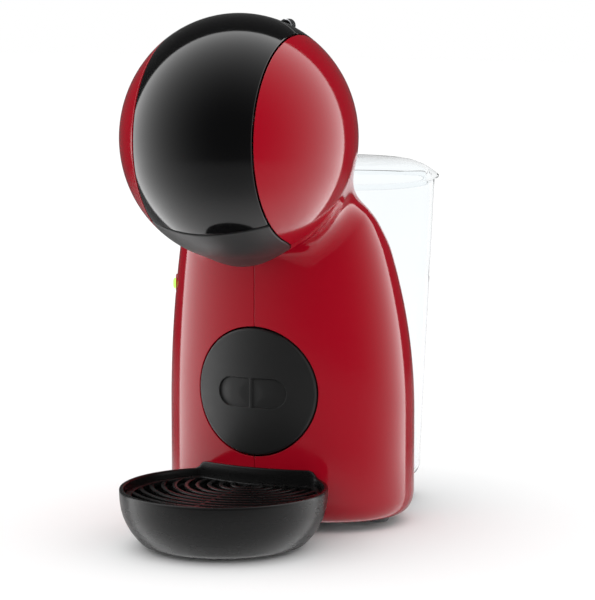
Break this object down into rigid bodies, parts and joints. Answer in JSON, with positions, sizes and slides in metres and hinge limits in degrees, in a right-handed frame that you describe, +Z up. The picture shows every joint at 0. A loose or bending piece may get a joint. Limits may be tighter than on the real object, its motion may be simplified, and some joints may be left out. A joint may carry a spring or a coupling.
{
  "type": "capsule coffee machine",
  "caption": "Upright capsule coffee machine with a ball head, a lift-up brewing handle, a clear rear water tank and a round drip tray in front.",
  "frame": {"origin": "on the table, under the middle of the bounding box", "axes": "+Z up; the front with the drip tray faces -Y; +X is on the right seen from the front"},
  "size_m": [0.1388, 0.252, 0.279],
  "materials": {
    "red_plastic": "glossy deep red moulding",
    "black_plastic": "glossy black moulding",
    "matt_black": "matte black moulding",
    "frame_grey": "dark grey inner moulding",
    "clear_plastic": "clear moulded plastic",
    "steel": "plain steel",
    "bright_ring": "bright ring",
    "brass": "plain brass",
    "copper_coil": "taped copper winding",
    "cast_aluminium": "cast",
    "black_rubber": "soft rubber",
    "grey_rubber": "soft rubber",
    "hose": "milky silicone",
    "light": "lit green lens",
    "board": "green circuit board",
    "pale_plastic": "pale moulding"
  },
  "bodies": {
    "machine": {"left_shell": "red_plastic", "right_shell": "red_plastic", "rear_cover": "black_plastic", "rear_panel": "matt_black", "front_disc": "matt_black", "hinge_pin_left": "steel", "hinge_pin_right": "steel", "head_frame": "frame_grey", "inlet_bush": "brass", "selector_valve": "brass", "power_switch": "frame_grey", "base_plate": "matt_black", "chassis": "frame_grey", "pump_body": "matt_black", "pump_coil": "copper_coil", "pump_mount_lower": "black_rubber", "pump_mount_upper": "black_rubber", "pump_spring": "steel", "thermoblock": "cast_aluminium", "thermostat": "pale_plastic", "water_tee": "brass", "pressure_hose": "hose", "cold_hose": "hose", "hot_hose": "hose", "outlet_hose": "hose", "dock_pipe": "matt_black", "suction_hose": "hose", "circuit_board": "board", "cord_gland": "black_rubber", "foot_front_left": "grey_rubber", "foot_front_right": "grey_rubber", "foot_middle_left": "grey_rubber", "foot_middle_right": "grey_rubber", "foot_rear_left": "grey_rubber", "foot_rear_right": "grey_rubber", "base_screw_front_left": "steel", "base_screw_front_right": "steel", "base_screw_rear_left": "steel", "base_screw_rear_right": "steel"},
    "handle": {"handle_cover": "black_plastic", "handle_frame": "frame_grey"},
    "injector": {"injector_plate": "frame_grey", "injector_needle": "steel", "injector_seal": "grey_rubber"},
    "holder": {"capsule_holder": "black_plastic"},
    "selector": {"selector_lever": "black_plastic", "selector_ring": "bright_ring"},
    "button": {"power_button": "red_plastic", "power_light": "light"},
    "piston": {"pump_piston": "steel"},
    "water_tank": {"tank": "clear_plastic"},
    "lid": {"tank_lid": "clear_plastic"},
    "valve": {"tank_valve": "matt_black"},
    "tray": {"drip_tray": "black_plastic", "tray_pad": "grey_rubber"},
    "grid": {"drip_grid": "black_plastic"}
  },
  "joints": [
    {"name": "handle_hinge", "type": "hinge", "parent": "machine", "child": "handle", "pos_m": [0, -0.022, 0.238], "axis": [-1, 0, 0], "range_deg": [0, 55]},
    {"name": "injector_lift", "type": "slide", "parent": "machine", "child": "injector", "axis": [0, 0, 1], "range_m": [0, 0.009]},
    {"name": "holder_slide", "type": "slide", "parent": "machine", "child": "holder", "axis": [0, -1, 0], "range_m": [0, 0.06]},
    {"name": "selector_turn", "type": "hinge", "parent": "machine", "child": "selector", "pos_m": [0, -0.0275, 0.238], "axis": [0, -1, 0], "range_deg": [0, 53.2]},
    {"name": "power_button_press", "type": "slide", "parent": "machine", "child": "button", "axis": [0.9031, 0.4295, 0], "range_m": [0, 0.0015], "stiffness_N_per_m": 800},
    {"name": "pump_stroke", "type": "slide", "parent": "machine", "child": "piston", "axis": [0, 0, 1], "range_m": [-0.003, 0.003], "stiffness_N_per_m": 1500, "deforming": ["pump_spring"]},
    {"name": "tank_lift", "type": "slide", "parent": "machine", "child": "water_tank", "axis": [0, 0, 1], "range_m": [0, 0.06]},
    {"name": "tank_lid_lift", "type": "slide", "parent": "water_tank", "child": "lid", "axis": [0, 0, 1], "range_m": [0, 0.04]},
    {"name": "tank_valve_slide", "type": "slide", "parent": "water_tank", "child": "valve", "axis": [0, 0, 1], "range_m": [0, 0.002]},
    {"name": "drip_tray_slide", "type": "slide", "parent": "machine", "child": "tray", "axis": [0, -1, 0], "range_m": [0, 0.06]},
    {"name": "drip_grid_lift", "type": "slide", "parent": "tray", "child": "grid", "axis": [0, 0, 1], "range_m": [0, 0.02]}
  ],
  "couplings": [
    {"joint": "injector_lift", "follows": "handle_hinge", "m_per_rad": 0.009375}
  ]
}
